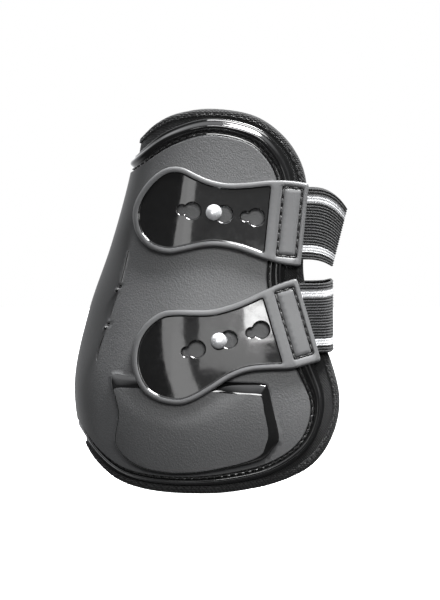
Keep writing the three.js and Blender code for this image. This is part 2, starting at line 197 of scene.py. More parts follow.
def stop_for(x, z, h):
    """How far round the wall x is at height z and h off the face."""
    low, high = np.zeros(len(x)), np.ones(len(x))
    for _ in range(26):
        a = (low + high) / 2
        short = wall_xy(a, z, h)[0] < x
        low, high = np.where(short, a, low), np.where(short, high, a)
    return (low + high) / 2


def unroll(points):
    """Side-view points (x, z) of the outer side, as (s, z)."""
    x, z = np.asarray(points, float).T
    s = by_row(stop_for(x, z, 0 * x), z, lambda k, v: np.interp(v, STOPS, ARC[k]))
    return np.stack([s, z], axis=1)


def on_side(points, h, side=-1):
    """Side-view points (x, z) laid h off the wall. side is -1 on the outer side and 1 on the inner."""
    x, z = np.asarray(points, float).T
    h = np.broadcast_to(np.asarray(h, float), x.shape)
    y = wall_xy(stop_for(x, z, h), z, h)[1]
    return np.stack([x, side * y, z], axis=1)


# ---------------- curves in a plane
def spline(points, per_span=24, closed=False):
    """A dense curve through points."""
    p = np.asarray(points, float)
    ends = (p[-1:], p[:2]) if closed else (p[:1], p[-1:])
    p = np.concatenate([ends[0], p, ends[1]])
    t = np.arange(per_span)[:, None] / per_span
    spans = []
    for a, b, c, d in zip(p, p[1:], p[2:], p[3:]):
        u, v = (c - a) / 2, (d - b) / 2
        spans.append((2 * b - 2 * c + u + v) * t**3 + (3 * c - 3 * b - 2 * u - v) * t**2 + u * t + b)
    return np.concatenate(spans if closed else spans + [p[-2:-1]])


def spaced(points, count, closed=False):
    """count points evenly along a curve."""
    p = np.concatenate([points, points[:1]]) if closed else np.asarray(points)
    along = np.concatenate([[0], np.cumsum(np.linalg.norm(np.diff(p, axis=0), axis=1))])
    at = np.linspace(0, along[-1], count + 1 if closed else count)
    out = np.stack([np.interp(at, along, c) for c in p.T], axis=1)
    return out[:-1] if closed else out


def length_of(points, closed=True):
    p = np.concatenate([points, points[:1]]) if closed else points
    return np.linalg.norm(np.diff(p, axis=0), axis=1).sum()


def relaxed(loop, rounds):
    """A closed loop with its corners softened."""
    for _ in range(rounds):
        loop = (np.roll(loop, 1, axis=0) + 2 * loop + np.roll(loop, -1, axis=0)) / 4
    return loop


def clockwise(loop):
    """A closed loop, turned round if it runs the other way."""
    x, y = loop.T
    return loop if (x * np.roll(y, -1) - y * np.roll(x, -1)).sum() < 0 else loop[::-1]


def inward(loop):
    """Unit steps into a clockwise closed loop, one for each point."""
    along = np.roll(loop, -1, axis=0) - np.roll(loop, 1, axis=0)
    along /= np.linalg.norm(along, axis=1)[:, None]
    return np.stack([along[:, 1], -along[:, 0]], axis=1)


def inset(loop, distance):
    """The loop moved inwards by one distance, or one for each point, in steps that soften tight corners."""
    steps = max(1, math.ceil(np.max(np.abs(distance)) / SOFT_STEP))
    for _ in range(steps):
        loop = loop + inward(loop) * np.reshape(distance, (-1, 1)) / steps
        if steps > 1:
            loop = evened(loop)
    return loop


def evened(loop):
    """The loop's points slid along it, towards the middle between their neighbours."""
    pull = (np.roll(loop, 1, axis=0) + np.roll(loop, -1, axis=0)) / 2 - loop
    lean = inward(loop)
    across = (pull * lean).sum(axis=1)[:, None] * lean
    return loop + 0.5 * (pull - across) + 0.1 * across


def edge_loop(points, spacing):
    """A side-view edge and its mirror image on the inner side, as one closed loop of the unrolled wall."""
    dense = spline(points)
    seen = dense[dense[:, 0] > through(SPINE, dense[:, 1]) + 0.02]
    half = unroll(seen)
    half = np.concatenate([[(0, half[0, 1])], half, [(0, half[-1, 1])]])
    whole = np.concatenate([half, (half * (-1, 1))[-2:0:-1]])
    count = int(length_of(whole) / spacing)
    return clockwise(relaxed(spaced(whole, count, closed=True), 3))


def circle(centre, radius, count):
    turn = np.linspace(0, -2 * math.pi, count, endpoint=False)
    return centre + radius * np.stack([np.cos(turn), np.sin(turn)], axis=1)


def inside(points, loop):
    """Which points lie in a closed loop."""
    x, y = points.T
    found = np.zeros(len(points), bool)
    for (x0, y0), (x1, y1) in zip(loop, np.roll(loop, -1, axis=0)):
        if y0 != y1:
            crosses = (y0 > y) != (y1 > y)
            found ^= crosses & (x < (x1 - x0) * (y - y0) / (y1 - y0) + x0)
    return found


def between(points, loops):
    """Which points lie in the first loop and in none of the others."""
    keep = inside(points, loops[0])
    for loop in loops[1:]:
        keep &= ~inside(points, loop)
    return keep


def grid_between(loops, spacing):
    """An even triangular grid of points in the first loop, clear of the others and of every edge."""
    low, high = loops[0].min(axis=0), loops[0].max(axis=0)
    rows = np.arange(low[1], high[1], spacing * GRID_ROW)
    columns = np.arange(low[0], high[0], spacing)
    grid = np.array([(x + (k % 2) * spacing / 2, y) for k, y in enumerate(rows) for x in columns])
    grid = grid[between(grid, loops)]
    counts = [max(8, int(length_of(loop) / (spacing / 3))) for loop in loops]
    edge = np.concatenate([spaced(loop, count, closed=True) for loop, count in zip(loops, counts)])
    tree = KDTree(len(edge))
    for i, point in enumerate(edge):
        tree.insert((*point, 0), i)
    tree.balance()
    near = np.array([tree.find((*g, 0))[2] for g in grid])
    return grid[near > spacing * GRID_CLEAR]


def smoothstep(low, high, value):
    """0 up to low, 1 from high on, and a smooth rise between them."""
    t = np.clip((value - low) / (high - low), 0, 1)
    return t * t * (3 - 2 * t)


# ---------------- meshes drawn in a plane and laid on a surface
class Relief:
    """Rings and filled areas in plane coordinates, each point with a height off the surface."""

    def __init__(self):
        self.plane, self.height, self.faces, self.slots = [], [], [], []

    def ring(self, points, height):
        """Adds points, and returns their numbers."""
        first = len(self.plane)
        self.plane.extend(np.asarray(points).tolist())
        self.height.extend(np.broadcast_to(height, len(points)).tolist())
        return np.arange(first, len(self.plane))

    def face(self, *corners, slot=0):
        self.faces.append(corners)
        self.slots.append(slot)

    def strip(self, a, b, slot=0):
        for i in range(len(a)):
            j = (i + 1) % len(a)
            self.face(a[i], b[i], b[j], a[j], slot=slot)

    def steps(self, loop, profile_points, slot=0, start=None):
        """Rings inwards from a loop, joined up. Returns the last ring."""
        for distance, height in profile_points:
            ring = self.ring(inset(loop, distance), height)
            if start is not None:
                self.strip(start, ring, slot)
            start = ring
        return start

    def fill(self, outer, holes, spacing, height, slot=0):
        """Triangles between a ring and its holes' rings. height is a number or a function of the points."""
        rings = [outer, *holes]
        plane = np.array(self.plane)
        loops = [plane[r] for r in rings]
        grid = grid_between(loops, spacing)
        added = self.ring(grid, height(grid) if callable(height) else height)
        index = np.concatenate([*rings, added]).astype(int)
        points = [Vector(p) for p in np.array(self.plane)[index]]
        edges, first = [], 0
        for r in rings:
            edges += [(first + i, first + (i + 1) % len(r)) for i in range(len(r))]
            first += len(r)
        verts, _, faces, origin, _, _ = delaunay_2d_cdt(points, edges, [], 0, 1e-7)
        crossings = [i for i, o in enumerate(origin) if not o]
        if crossings:
            raise ValueError(f"a loop crosses itself or another near {tuple(verts[crossings[0]])}")
        centres = np.array([np.mean([verts[i] for i in f], axis=0) for f in faces])
        for face, keep in zip(faces, between(centres, loops)):
            if keep:
                self.face(*(index[origin[i][0]] for i in face), slot=slot)

    def laid(self, name, place, materials):
        """The mesh, once place has turned plane points and heights into points in space."""
        points = place(np.array(self.plane), np.array(self.height))
        return solid_mesh(name, points, self.faces, self.slots, materials)


def solid_mesh(name, points, faces, slots, materials, outwards=True):
    """A smooth-shaded mesh object from points in millimetres."""
    mesh = bpy.data.meshes.new(name)
    mesh.from_pydata((np.asarray(points) * MM).tolist(), [], [tuple(map(int, f)) for f in faces])
    for material in materials:
        mesh.materials.append(material)
    if slots is not None:
        mesh.polygons.foreach_set("material_index", np.asarray(slots, np.int32))
    mesh.polygons.foreach_set("use_smooth", np.ones(len(mesh.polygons), bool))
    mesh.update()
    if outwards:
        work = bmesh.new()
        work.from_mesh(mesh)
        bmesh.ops.recalc_face_normals(work, faces=work.faces)
        work.to_mesh(mesh)
        work.free()
    made = bpy.data.objects.new(name, mesh)
    bpy.context.scene.collection.objects.link(made)
    return made


def sweep(rows, closed_along=False):
    """Faces of a tube whose rows are rings of equal size. Returns (points, faces)."""
    rows = np.asarray(rows)
    n, m = rows.shape[:2]
    faces = []
    for i in range(n if closed_along else n - 1):
        for j in range(m):
            a, b = i * m + j, i * m + (j + 1) % m
            c, d = (i + 1) % n * m + (j + 1) % m, (i + 1) % n * m + j
            faces.append((a, b, c, d))
    if not closed_along:
        faces += [tuple(range(m))[::-1], tuple(range((n - 1) * m, n * m))]
    return rows.reshape(-1, 3), faces


def stitch_row(name, body, place, path, base, pitch=STITCH_PITCH, share=0.8, radius=0.42, sink=0.5):
    """Single stitches round a plane loop, each a thread that rises from the surface and dips back into it."""
    total = length_of(path)
    count = round(total / pitch)
    rings, sides, samples = 9, 8, 4000
    turn = np.linspace(0, 2 * math.pi, sides, endpoint=False)
    points, faces = [], []
    fine = spaced(path, samples, closed=True)
    along = np.linspace(0, total, samples, endpoint=False)
    for k in range(count):
        t = (k + 0.5 + share * np.linspace(-0.5, 0.5, rings)) * total / count
        centre = np.stack([np.interp(t, along, c) for c in fine.T], axis=1)
        step = np.gradient(centre, axis=0)
        step /= np.linalg.norm(step, axis=1)[:, None]
        across = np.stack([-step[:, 1], step[:, 0]], axis=1)
        rise = np.sqrt(np.clip(1 - np.linspace(-1, 1, rings) ** 4, 0, 1))
        r = radius * np.clip(0.45 + 0.55 * rise, 0, 1)
        plane = centre[:, None, :] + across[:, None, :] * (r[:, None] * np.cos(turn))[:, :, None]
        height = (base - sink * (1 - rise))[:, None] + r[:, None] * np.sin(turn)
        placed = place(plane.reshape(-1, 2), height.reshape(-1)).reshape(rings, sides, 3)
        new, new_faces = sweep(placed)
        faces += [tuple(i + len(points) for i in f) for f in new_faces]
        points.extend(new.tolist())
    row = solid_mesh(name + "_lockstitch", points, faces, None, [THREAD])
    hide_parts(name + "_stitching")
    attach(row, body)


# ---------------- materials
RIB_PITCH = 1.65
WAVE_SCALE = 0.314  # of a wave texture that repeats every unit
COLOUR_A, COLOUR_B, COLOUR_OUT = 6, 7, 2  # the colour sockets of a mix node


class Nodes:
    """The nodes of a material or a world, with a short way to add and link them."""

    def __init__(self, owner):
        owner.use_nodes = True
        self.owner, self.tree = owner, owner.node_tree
        self.shader = self.tree.nodes.get("Principled BSDF")

    def add(self, kind, inputs=(), **settings):
        node = self.tree.nodes.new(kind)
        for key, value in settings.items():
            setattr(node, key, value)
        for key, value in dict(inputs).items():
            self.put(node.inputs[key], value)
        return node

    def put(self, socket, value):
        """Links a socket to another, or sets its value."""
        if isinstance(value, bpy.types.NodeSocket):
            self.tree.links.new(value, socket)
        else:
            socket.default_value = value

    def set(self, **values):
        for key, value in values.items():
            self.put(self.shader.inputs[key.replace("_", " ")], value)

    def place(self):
        """Object coordinates in millimetres."""
        coordinates = self.add("ShaderNodeTexCoord").outputs["Object"]
        inputs = {"Vector": coordinates, "Scale": (1 / MM, 1 / MM, 1 / MM)}
        return self.add("ShaderNodeMapping", inputs).outputs["Vector"]

    def noise(self, scale, detail=4.0, roughness=0.55):
        inputs = {"Vector": self.place(), "Scale": scale, "Detail": detail, "Roughness": roughness}
        return self.add("ShaderNodeTexNoise", inputs).outputs["Fac"]

    def waves(self, way, vector, scale, distortion=0.0, detail=2.0, detail_scale=1.0, phase=0.0):
        """Parallel bands along the axis way."""
        inputs = {"Vector": vector, "Scale": scale, "Distortion": distortion, "Detail": detail,
                  "Detail Scale": detail_scale, "Phase Offset": phase}
        return self.add("ShaderNodeTexWave", inputs, wave_type="BANDS", bands_direction=way).outputs["Fac"]

    def ramp(self, value, low, high, low_at=0.3, high_at=0.7):
        """A colour that goes from low to high as value goes from low_at to high_at."""
        node = self.add("ShaderNodeValToRGB", {"Fac": value})
        for element, colour, position in zip(node.color_ramp.elements, (low, high), (low_at, high_at)):
            element.position = position
            element.color = (*colour, 1)
        return node.outputs["Color"]

    def mixed(self, share, a, b):
        """The colour of socket a where share is 0, and colour b where it is 1."""
        inputs = {"Factor": share, COLOUR_A: a, COLOUR_B: (*b, 1)}
        return self.add("ShaderNodeMix", inputs, data_type="RGBA").outputs[COLOUR_OUT]

    def math(self, operation, a, b):
        node = self.add("ShaderNodeMath", operation=operation)
        self.put(node.inputs[0], a)
        self.put(node.inputs[1], b)
        return node.outputs[0]

    def bump(self, height, distance, strength):
        inputs = {"Height": height, "Distance": distance, "Strength": strength}
        return self.add("ShaderNodeBump", inputs).outputs["Normal"]


def material_nodes(name):
    return Nodes(bpy.data.materials.new(name))


def grey(value):
    """A grey that is slightly blue."""
    return value, value * 1.01, value * 1.03


def grained(name, light, dark, roughness, grain=0.9, depth=0.0002, smooth=None):
    """Matte plastic with a fine leather grain. smooth is its tone where the mesh's smooth_share is 1."""
    m = material_nodes(name)
    broad = m.noise(0.035, 3.0)
    cells = m.add("ShaderNodeTexVoronoi", {"Vector": m.place(), "Scale": grain})
    fine = m.noise(grain * 2.2, 5.0, 0.6)
    height = m.math("ADD", m.math("MULTIPLY", cells.outputs["Distance"], 0.7), fine)
    colour = m.ramp(broad, grey(dark), grey(light))
    if smooth is not None:
        share = m.add("ShaderNodeAttribute", attribute_name="smooth_share").outputs["Fac"]
        colour = m.mixed(share, colour, grey(smooth))
        height = m.math("MULTIPLY", height, m.math("SUBTRACT", 1.15, share))
    m.set(Base_Color=colour, Normal=m.bump(height, depth, 0.6), Specular_IOR_Level=0.45)
    m.set(Roughness=m.ramp(fine, (roughness - 0.06,) * 3, (roughness + 0.08,) * 3))
    return m.owner


def polished(name, value, roughness):
    """Black plastic moulded against a polished tool, with faint ripples and scuffs."""
    m = material_nodes(name)
    scuffs = m.noise(0.25, 6.0, 0.7)
    ripple = m.noise(0.06, 2.0)
    m.set(Base_Color=m.ramp(scuffs, grey(value * 0.85), grey(value * 1.2)))
    m.set(Roughness=m.ramp(scuffs, (roughness * 0.7,) * 3, (roughness * 1.8,) * 3, 0.45, 0.85))
    m.set(Normal=m.bump(ripple, 0.0006, 0.12), Specular_IOR_Level=0.6, Coat_Weight=0.35, Coat_Roughness=0.05)
    return m.owner


def woven(name, value, pitch, depth):
    """Cloth with two crossing sets of fine yarns."""
    m = material_nodes(name)
    where = m.place()
    warp, weft = (m.waves(way, where, WAVE_SCALE / pitch, 1.2, 1.0, 0.6) for way in ("DIAGONAL", "Z"))
    fluff = m.noise(2.4, 5.0, 0.7)
    broad = m.noise(0.05, 3.0)
    height = m.math("ADD", m.math("MULTIPLY", warp, weft), m.math("MULTIPLY", fluff, 0.5))
    tone = m.math("ADD", m.math("MULTIPLY", height, 0.5), m.math("MULTIPLY", broad, 0.5))
    m.set(Base_Color=m.ramp(tone, grey(value * 0.3), grey(value * 2.2), 0.25, 0.85), Roughness=0.85)
    m.set(Normal=m.bump(height, depth, 0.8), Specular_IOR_Level=0.25)
    m.set(Sheen_Weight=0.08, Sheen_Roughness=0.5)
    return m.owner


def webbing(name, value, rib_shade_share):
    """Elastic webbing: yarns across the mesh's ribs, with a band of painted shade at every rib. Its attribute
    weave is the place along and across.
    """
    m = material_nodes(name)
    where = m.add("ShaderNodeAttribute", attribute_name="weave").outputs["Vector"]
    ribs = m.waves("Y", where, WAVE_SCALE / RIB_PITCH, phase=math.pi / 2)
    yarn = m.waves("X", where, WAVE_SCALE / 0.9, 0.6, 1.0)
    fluff = m.noise(2.0, 5.0, 0.7)
    height = m.math("ADD", yarn, m.math("MULTIPLY", fluff, 0.7))
    # Painted shade: the colour darkens in a band at every rib, by the share given as the third argument; the
    # ramp's dark end below drops by that share too.
    painted_rib_shade = m.math("ADD", m.math("MULTIPLY", ribs, rib_shade_share), 1.15 - rib_shade_share)
    tone = m.math("MULTIPLY", m.math("ADD", height, 0.6), painted_rib_shade)
    m.set(Base_Color=m.ramp(tone, grey(value * (1 - rib_shade_share)), grey(value * 1.4), 0.3, 1.3), Roughness=0.82)
    m.set(Normal=m.bump(height, 0.00018, 0.8), Specular_IOR_Level=0.2, Sheen_Weight=0.08, Sheen_Roughness=0.5)
    return m.owner


def twisted(name, value):
    """Bonded sewing thread."""
    m = material_nodes(name)
    strand = m.waves("DIAGONAL", m.place(), 0.9, 0.8)
    m.set(Base_Color=m.ramp(strand, grey(value * 0.6), grey(value * 1.5)), Roughness=0.45)
    m.set(Normal=m.bump(strand, 0.0001, 0.6), Sheen_Weight=0.2)
    return m.owner


def plated(name, value, roughness, metallic):
    """Plated or plain metal with faint handling marks."""
    m = material_nodes(name)
    marks = m.noise(0.9, 6.0, 0.65)
    m.set(Base_Color=m.ramp(marks, grey(value * 0.94), grey(value)), Metallic=metallic)
    m.set(Roughness=m.ramp(marks, (roughness * 0.7,) * 3, (roughness * 1.5,) * 3, 0.4, 0.9))
    m.set(Normal=m.bump(marks, 0.00003, 0.3))
    return m.owner


PANEL = grained("panel_grain", 0.086, 0.074, 0.4, smooth=0.03)
GLOSS = polished("polished_black", 0.005, 0.08)
TAB_SATIN = grained("tab_satin", 0.09, 0.08, 0.42, 1.1, 0.00005)
JERSEY = woven("neoprene_jersey", 0.014, 0.8, 0.00025)
TAPE = woven("binding_tape", 0.017, 1.1, 0.0004)
# For each webbing, the last number is the share of painted shade in the band at every rib.
WEB_BLACK = webbing("webbing_black", 0.023, 0.75)
WEB_WHITE = webbing("webbing_white", 0.3, 0.1)
THREAD = twisted("thread_black", 0.008)
CHROME = plated("stud_chrome_finish", 0.92, 0.25, 0.7)
STEEL = plated("washer_steel", 0.5, 0.35, 1.0)


# ---------------- the shell
def stud_spots():
    """Where the studs pass the shell, on the unrolled wall."""
    return [unroll([tab_to_side(c, (c["hole"], c["lift"]))])[0] for c in CLOSURES.values()]


def tab_to_side(closure, points):
    """Tab coordinates, along and up across, as side-view x and z."""
    p, q = np.asarray(points, float).T
    turn = math.radians(closure["angle"])
    x = closure["centre"][0] + p * math.cos(turn) - q * math.sin(turn)
    z = closure["centre"][1] + p * math.sin(turn) + q * math.cos(turn)
    return np.stack([x, z], axis=-1)


# The strike pad's foot and its crest, point for point, from the top left corner round by the front.
PAD_FOOT = [
    (-53.1, 68), (-40, 66.9), (-8.6, 65.1), (20, 64), (32.6, 63.4), (36, 61.1), (38.9, 49.1), (42.3, 33.1),
    (39.4, 26.9), (30.9, 18.9), (5.7, 12.9), (-14.3, 10.9), (-31.4, 12.9), (-42.9, 18), (-49.7, 26.3),
    (-50.9, 33.1), (-49.1, 45.1), (-51.4, 56.6),
]
PAD_CREST = [
    (-50.6, 60.6), (-39.4, 61.1), (-8.6, 59.7), (20, 57.7), (29.1, 57.1), (32.6, 55.4), (34.3, 46.3),
    (36.3, 36), (35.4, 29.1), (29.7, 20.6), (5.7, 13.9), (-14.3, 11.9), (-30.9, 13.8), (-42, 18.9),
    (-48.9, 26.6), (-50, 33.1), (-48.3, 45.1), (-50, 54.9),
]
PAD_RISE = 2.0  # under the lower tab
PAD_SWELL = 1.3  # more where the pad is clear of the tab
PAD_AWAY = (1, 14)  # the distances from the tab between which it swells
PAD_SPAN = 14  # points between two of the outline's
PAD_SHARE = 0.35  # how smooth the pad's top is
PAD_BEVEL = [(0.02, 0.2), (0.08, 0.34), (0.45, 0.66), (0.85, 0.93), (1.0, 1.0)]  # shares of way and rise


def pad_height(p):
    """The strike pad's top: low under the lower tab, and higher away from it."""
    closure = CLOSURES["lower"]
    outline = tab_loop(closure, border=0, end=closure["length"], count=120)
    tab = unroll(tab_to_side(closure, outline))
    away = np.array([np.hypot(*(tab - q).T).min() for q in p]) * ~inside(p, tab)
    return PANEL_HEIGHT + PAD_RISE + PAD_SWELL * smoothstep(*PAD_AWAY, away)


# The crease between the smooth strip along the spine and the grained panel, seen from the side.
CREASE = [(-43.6, 139), (-45.2, 132), (-48.2, 120), (-52.2, 107), (-56.6, 94), (-60.6, 82), (-62, 76)]
STRIP_FADE = 9  # how far the strip's border spreads above and below the crease
HOLLOW_DEPTH = 1.3
HOLLOW_LOW, HOLLOW_HIGH = (48, 92), (126, 158)  # the heights over which it deepens and fades again
HOLLOW_START = 0.15  # from the spine, as a share of the way to the crease
# Start and end along the crease, width and depth: a raised welt, a wide shallow cut and a slit.
CREASE_CUTS = [(0.0, 0.295, 1.3, -0.8), (0.387, 0.64, 6.0, 1.0), (0.74, 1.0, 0.9, 1.0)]
CUT_SECTION = [(0.0, 0.0), (0.04, -0.25), (0.1, -0.8), (0.22, -0.75), (0.6, -0.3), (1.0, 0.0)]
CUT_POINTS = 40
EYELETS = [(-48.6, 118.3), (-55.4, 96.6)]  # at the two ends of the wide cut
EYELET_DOME = (-1.7, -2.0)  # from an eyelet's pit to the dome beside it
PIT_SECTION = [(1.0, 0.0), (0.9, -0.35), (0.75, -1.4)]
DOME_SECTION = [(1.15, 0.0), (1.1, 0.45), (0.85, 0.95), (0.45, 1.2)]


def add_cut(relief, side, start, end, width, depth):
    """A cut that is steep in front and runs out behind. Returns the ring of its brink."""
    line = spaced(unroll(spline(CREASE)), 200)
    last = len(line) - 1
    front = spaced(line[int(start * last):int(end * last) + 1], CUT_POINTS)
    t = np.linspace(0, 1, CUT_POINTS)[:, None]
    back = front - (width, 0.0) * np.sin(math.pi * t) ** 0.8
    front, back = front * (side, 1), back * (side, 1)
    tips = relief.ring(front[[0, -1]], panel_height(front[[0, -1]]))
    lines = []
    for share, height in CUT_SECTION:
        points = (front * (1 - share) + back * share)[1:-1]
        lines.append(relief.ring(points, panel_height(points) + height * depth))
    for k, (a, b) in enumerate(zip(lines, lines[1:])):
        slot = int(k < 3 or width < 2)
        for i in range(len(a) - 1):
            relief.face(a[i], b[i], b[i + 1], a[i + 1], slot=slot)
        relief.face(tips[0], b[0], a[0], slot=slot)
        relief.face(tips[1], a[-1], b[-1], slot=slot)
    return np.concatenate([tips[:1], lines[0], tips[1:], lines[-1][::-1]])


def add_cup(relief, spot, section):
    """A small round pit or dome. Returns its outer ring."""
    rings = []
    for radius, height in section:
        loop = circle(spot, radius, 16)
        rings.append(relief.ring(loop, panel_height(loop) + height))
    for a, b in zip(rings, rings[1:]):
        relief.strip(a, b, 1)
    relief.face(*rings[-1], slot=1)
    return rings[0]


def add_eyelets(relief, side):
    """A pit and a dome at each end of the wide cut. Returns their rings."""
    rings = []
    for eyelet in EYELETS:
        spot = unroll([eyelet])[0]
        rings.append(add_cup(relief, spot * (side, 1), PIT_SECTION))
        rings.append(add_cup(relief, (spot + EYELET_DOME) * (side, 1), DOME_SECTION))
    return rings


def crease_at(z):
    """How far round the wall the crease lies at height z."""
    crease = unroll(spline(CREASE))
    return np.interp(z, crease[::-1, 1], crease[::-1, 0])


def smooth_share(p):
    """How smooth and dark the shell is: 1 on the strip along the spine, PAD_SHARE on the pad, else 0."""
    edge = crease_at(p[:, 1])
    # The strip's border is sharp along the crease, and fades above and below it.
    beyond = STRIP_FADE * (smoothstep(135, 165, p[:, 1]) + smoothstep(-85, -55, -p[:, 1]))
    strip = 1 - smoothstep(edge - 1.5 - beyond, edge + 0.3 + beyond / 2, np.abs(p[:, 0]))
    return np.maximum(strip, PAD_SHARE * inside(p, unroll(spline(PAD_CREST, PAD_SPAN, closed=True))))


def panel_height(p):
    """The panel, with a shallow hollow behind each crease."""
    tall = smoothstep(*HOLLOW_LOW, p[:, 1]) * (1 - smoothstep(*HOLLOW_HIGH, p[:, 1]))
    across = np.clip(np.abs(p[:, 0]) / crease_at(p[:, 1]), 0, 1)
    hollow = np.sin(math.pi * np.clip((across - HOLLOW_START) / (1 - HOLLOW_START), 0, 1)) * (across < 1)
    return PANEL_HEIGHT - HOLLOW_DEPTH * hollow * tall


# The rim is narrower below these heights, and more so behind these side-view points.
NARROW_LOW, NARROW_REAR = (22, 70), [(-45, 20), (30, 20)]
NARROWED, NARROWED_REAR = 0.42, 0.16
# Its bead is lowered to BEAD_END below these heights, within these distances from the spine.
BEAD_LOW, BEAD_REAR, BEAD_END = (30, 70), (10, 45), -0.3


def rim_scale(edge):
    """How wide the rim is at each point of the shell's edge, as a share of its width at the top."""
    low = 1 - smoothstep(*NARROW_LOW, edge[:, 1])
    rear = 1 - smoothstep(*unroll(NARROW_REAR)[:, 0], np.abs(edge[:, 0]))
    return 1 - low * (NARROWED + NARROWED_REAR * rear)


def rim_height(edge, height):
    """The rim's height at each point of the edge: the bead runs out towards the foot of the spine."""
    low = 1 - smoothstep(*BEAD_LOW, edge[:, 1])
    rear = 1 - smoothstep(*BEAD_REAR, np.abs(edge[:, 0]))
    return height - max(height - BEAD_END, 0) * low * rear


def add_strike_pad(relief):
    """The raised pad, with a wide polished bevel along its top and front. Returns its outline's ring."""
    foot_line, crest_line = (unroll(spline(line, PAD_SPAN, closed=True)) for line in (PAD_FOOT, PAD_CREST))
    if (clockwise(foot_line) != foot_line).any():
        foot_line, crest_line = foot_line[::-1], crest_line[::-1]
    crest_height = pad_height(crest_line)
    foot = relief.ring(foot_line, panel_height(foot_line))
    last = foot
    for share, lift in PAD_BEVEL:
        height = panel_height(foot_line) * (1 - lift) + crest_height * lift
        ring = relief.ring(foot_line * (1 - share) + crest_line * share, height)
        relief.strip(last, ring, 1)
        last = ring
    top = relief.ring(inset(crest_line, 0.5), crest_height + 0.02)
    relief.strip(last, top, 1)
    relief.fill(top, [], spacing=2.6, height=pad_height)
    return foot


def add_shank_hole(relief, spot):
    """A round hole through the shell. Returns its rings on the outer and the inner face."""
    loop = circle(spot, SHANK_HOLE_R, 20)
    top, bottom = relief.ring(loop, PANEL_HEIGHT), relief.ring(loop, -SHELL_WALL)
    relief.strip(top, bottom)
    return top, bottom


def make_shell():
    """The moulded shell and the row of stitches in its groove."""
    relief = Relief()
    edge = edge_loop(SHELL_EDGE, spacing=1.7)
    back = relief.ring(edge, -SHELL_WALL)
    scale = rim_scale(edge)
    groove = relief.steps(edge, [(d * scale, rim_height(edge, h)) for d, h in RIM_PROFILE], 1, back)
    panel = relief.steps(edge, [(d * scale, h) for d, h in PANEL_PROFILE], 0, groove)
    holes, back_holes = map(list, zip(*[add_shank_hole(relief, spot) for spot in stud_spots()]))
    holes.append(add_strike_pad(relief))
    for side in (-1, 1):
        holes += [add_cut(relief, side, *cut) for cut in CREASE_CUTS]
        holes += add_eyelets(relief, side)
    relief.fill(panel, holes, spacing=2.2, height=panel_height)
    relief.fill(back, back_holes, spacing=4.0, height=-SHELL_WALL)
    shell = relief.laid("shell_moulding", unrolled, [PANEL, GLOSS])
    smooth = shell.data.attributes.new("smooth_share", "FLOAT", "POINT")
    smooth.data.foreach_set("value", smooth_share(np.array(relief.plane)).astype(np.float32))
    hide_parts("tpu_shell")
    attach(shell, PAD)
    stitch_row("shell", PAD, unrolled, inset(edge, STITCH_INSET * scale), STITCH_HEIGHT)


# ---------------- lining and binding
LINING_ROUND = 0.7  # how far the lining's faces fall off beside its edge
LINING_WAVE = 0.25
BINDING_PUCKER = 0.12
BINDING_STITCH_INSET = 3.2


def inner_face(p):
    """The lining's inner face, lightly waved."""
    return LINING_TOP - LINING_WALL - LINING_WAVE * np.sin(p[:, 0] / 6.5) * np.sin(p[:, 1] / 8.0)


def make_lining():
    """The neoprene lining, rounded at its edge."""
    relief = Relief()
    edge = edge_loop(LINING_EDGE, spacing=2.2)
    low = LINING_TOP - LINING_WALL
    middle = low / 2 + LINING_TOP / 2
    faces = ((LINING_TOP, -LINING_ROUND, 4.5, LINING_TOP), (low, LINING_ROUND, 3.0, inner_face))
    for level, drop, spacing, height in faces:
        ring = relief.steps(edge, [(1.6, middle), (2.0, level + drop), (3.0, level)])
        relief.fill(ring, [], spacing, height)
    lining = relief.laid("lining_foam", unrolled, [JERSEY])
    weld(lining)
    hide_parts("neoprene_lining")
    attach(lining, PAD)


def weld(obj):
    """Joins points that lie in one place."""
    work = bmesh.new()
    work.from_mesh(obj.data)
    bmesh.ops.remove_doubles(work, verts=work.verts, dist=1e-6)
    bmesh.ops.recalc_face_normals(work, faces=work.faces)
    work.to_mesh(obj.data)
    work.free()


def binding_section(top, low):
    """The tape's section, as (distance in from the edge, height), from its outer face round to the inner."""
    middle, half = (top + low) / 2, (top - low) / 2
    section = [(BINDING_WIDTH, top - BINDING_SWELL - 0.2), (BINDING_WIDTH, top - 0.35),
               (BINDING_WIDTH - 0.4, top - 0.05), (3.6, top), (3.2, top - 0.28), (2.8, top),
               (2.0, top - 0.05)]
    turn = np.linspace(0.5, 0, 7)[1:-1] * math.pi
    bend = [(1.7 - 1.7 * math.cos(t), middle + half * math.sin(t)) for t in turn]
    section += bend + [(0.0, middle)]
    section += [(d, 2 * middle - h) for d, h in section[-2::-1]]
    return section + [(BINDING_WIDTH - 1.2, low + 1.4), (1.4, middle), (BINDING_WIDTH - 1.2, top - 1.4)]


def make_binding():
    """The tape round the lining's edge, puckered at its stitches, and the stitches."""
    edge = edge_loop(LINING_EDGE, spacing=1.1)
    top = LINING_TOP + BINDING_SWELL
    low = LINING_TOP - LINING_WALL - BINDING_SWELL
    along = np.linspace(0, 2 * math.pi, len(edge), endpoint=False)
    pucker = BINDING_PUCKER * np.sin(along * round(length_of(edge) / STITCH_PITCH))
    rows = []
    for d, h in binding_section(top, low):
        swell = pucker * (1.6 < d < BINDING_WIDTH) * np.sign(h - (top + low) / 2)
        rows.append(unrolled(inset(edge, d), h + swell))
    points, faces = sweep(np.array(rows).transpose(1, 0, 2), closed_along=True)
    binding = solid_mesh("edge_tape", points, faces, None, [TAPE])
    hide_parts("edge_binding")
    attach(binding, PAD)
    stitch_row("binding", PAD, unrolled, inset(edge, BINDING_STITCH_INSET), top - 0.1, radius=0.3, sink=0.3)


